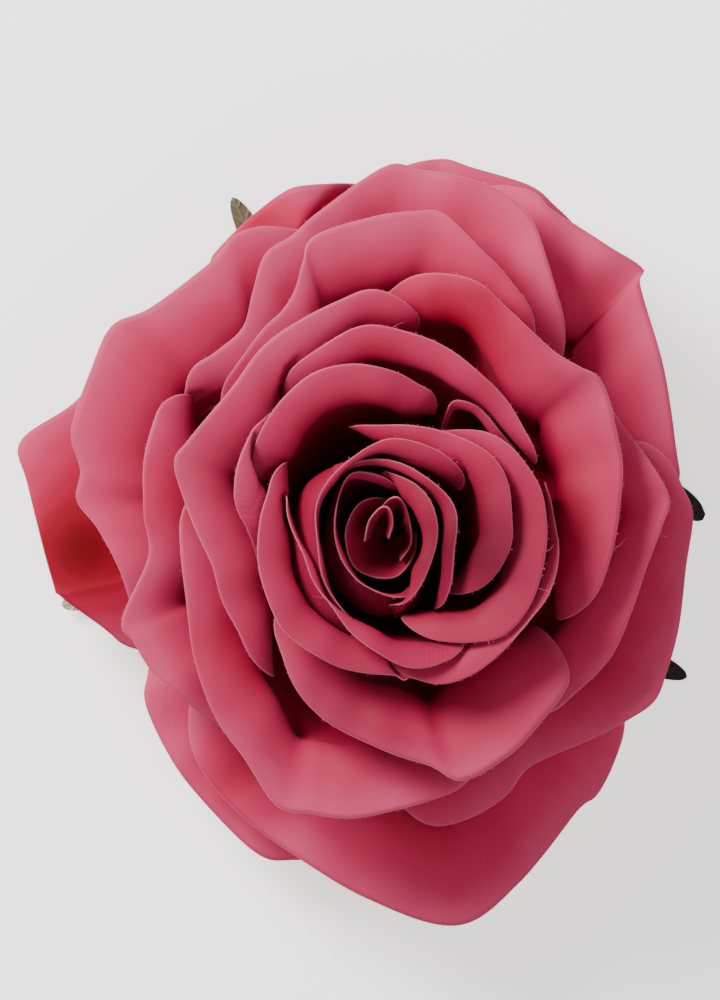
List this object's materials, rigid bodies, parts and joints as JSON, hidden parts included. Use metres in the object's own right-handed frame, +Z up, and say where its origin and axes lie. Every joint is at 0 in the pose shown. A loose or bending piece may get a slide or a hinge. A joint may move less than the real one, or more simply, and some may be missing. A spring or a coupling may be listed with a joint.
{
  "type": "fabric rose head",
  "caption": "Full-blown pink fabric rose head: furled bud, overlapping curled petals, green calyx and sepals, cut flush so it rests face up on a surface.",
  "frame": {"origin": "on the surface that the rose head rests on, under the middle of its box", "axes": "+Z up, the way the bloom faces; +X to the right and +Y to the top when the bloom is looked down on"},
  "size_m": [0.0972, 0.1072, 0.0566],
  "materials": {
    "petal_fabric": "pressed woven polyester with a fine rib and a soft satin sheen, dusty pink at the rims and crimson in the folds",
    "sepal_fabric": "pressed green fabric, dull, with a fold along the middle",
    "calyx_plastic": "moulded dark green, matte",
    "core_plastic": "moulded green, matte, hidden by the petals",
    "stem_plastic": "plastic-covered stem, cut flat"
  },
  "bodies": {
    "root": {"bud_heart": "petal_fabric", "core": "core_plastic", "calyx": "calyx_plastic", "stem_end": "stem_plastic", "bud_wrap_left": "petal_fabric", "bud_wrap_right": "petal_fabric", "bud_scroll": "petal_fabric", "inner_petal_top_left": "petal_fabric", "inner_petal_right": "petal_fabric", "inner_petal_far_right": "petal_fabric", "inner_petal_bottom_left": "petal_fabric", "inner_petal_lower_right": "petal_fabric", "inner_petal_lower_left": "petal_fabric", "cup_petal_top_left": "petal_fabric", "cup_petal_left": "petal_fabric", "cup_petal_small": "petal_fabric", "cup_petal_top": "petal_fabric", "middle_petal_bottom": "petal_fabric", "middle_petal_left": "petal_fabric", "middle_petal_right": "petal_fabric", "wide_petal_top": "petal_fabric", "wide_petal_right": "petal_fabric", "wide_petal_bottom_left": "petal_fabric", "wide_petal_left": "petal_fabric", "outer_petal_top": "petal_fabric", "outer_petal_lower_right": "petal_fabric", "outer_petal_upper_left": "petal_fabric", "outer_petal_upper_right": "petal_fabric", "back_petal_top": "petal_fabric", "back_petal_bottom": "petal_fabric", "back_petal_top_left": "petal_fabric", "back_petal_bottom_left": "petal_fabric", "back_petal_left": "petal_fabric", "sepal_1": "sepal_fabric", "sepal_2": "sepal_fabric", "sepal_3": "sepal_fabric", "sepal_4": "sepal_fabric", "sepal_5": "sepal_fabric"}
  },
  "joints": []
}
